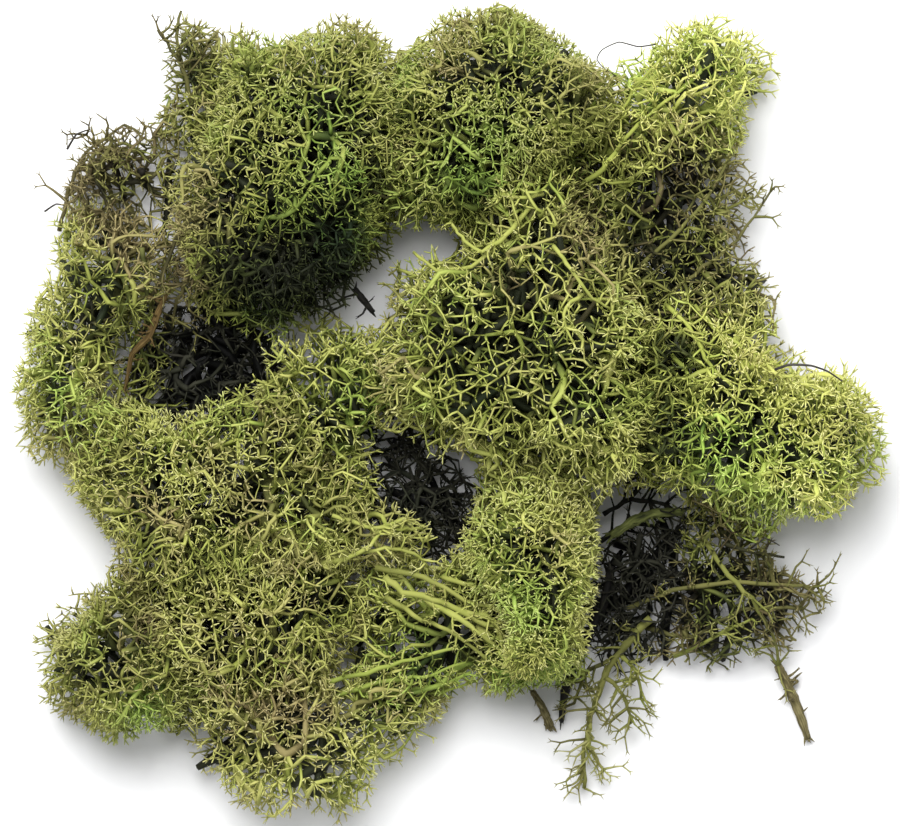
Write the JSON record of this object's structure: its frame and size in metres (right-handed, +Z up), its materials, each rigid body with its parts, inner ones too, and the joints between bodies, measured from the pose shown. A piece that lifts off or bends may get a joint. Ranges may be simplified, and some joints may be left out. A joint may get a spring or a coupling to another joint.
{
  "type": "moss clump",
  "caption": "Loose clump of green preserved reindeer lichen, sold as moss: tangled tufts, thin sprigs and bare twigs in one flat-bottomed heap.",
  "frame": {"origin": "bottom centre of the clump's box, on the surface that it lies on", "axes": "+Z up from the surface that the clump lies on; +X along its longest side; +Y across it"},
  "size_m": [0.1844, 0.1678, 0.0518],
  "materials": {
    "lichen_fresh": "matt, dyed green lichen branches",
    "lichen_pale": "matt, pale yellow-green lichen tips",
    "lichen_olive": "matt, olive lichen branches",
    "lichen_brown": "matt, browned old lichen",
    "dry_wood": "dull dry bark",
    "black_wood": "dull black dead twig"
  },
  "bodies": {
    "root": {"tuft_top_left": "lichen_fresh", "tuft_top_middle": "lichen_olive", "tuft_top_right": "lichen_pale", "tuft_right_shaded": "lichen_brown", "tuft_middle": "lichen_fresh", "tuft_middle_left": "lichen_pale", "tuft_right": "lichen_pale", "tuft_left": "lichen_olive", "tuft_low_left": "lichen_fresh", "tuft_low_middle": "lichen_fresh", "tuft_corner": "lichen_olive", "tuft_bottom": "lichen_brown", "tuft_side_on": "lichen_fresh", "tuft_ball": "lichen_fresh", "tuft_in_shadow": "lichen_olive", "sprig_left": "lichen_brown", "sprig_top": "lichen_olive", "sprig_right": "lichen_brown", "sprig_bottom": "lichen_olive", "sprig_dark": "lichen_brown", "tuft_in_hollow": "lichen_olive", "stalk_green": "lichen_olive", "stem_brown": "dry_wood", "twig_black": "black_wood", "stalk_dark": "black_wood", "stalk_short": "dry_wood", "stem_loose": "dry_wood"}
  },
  "joints": []
}
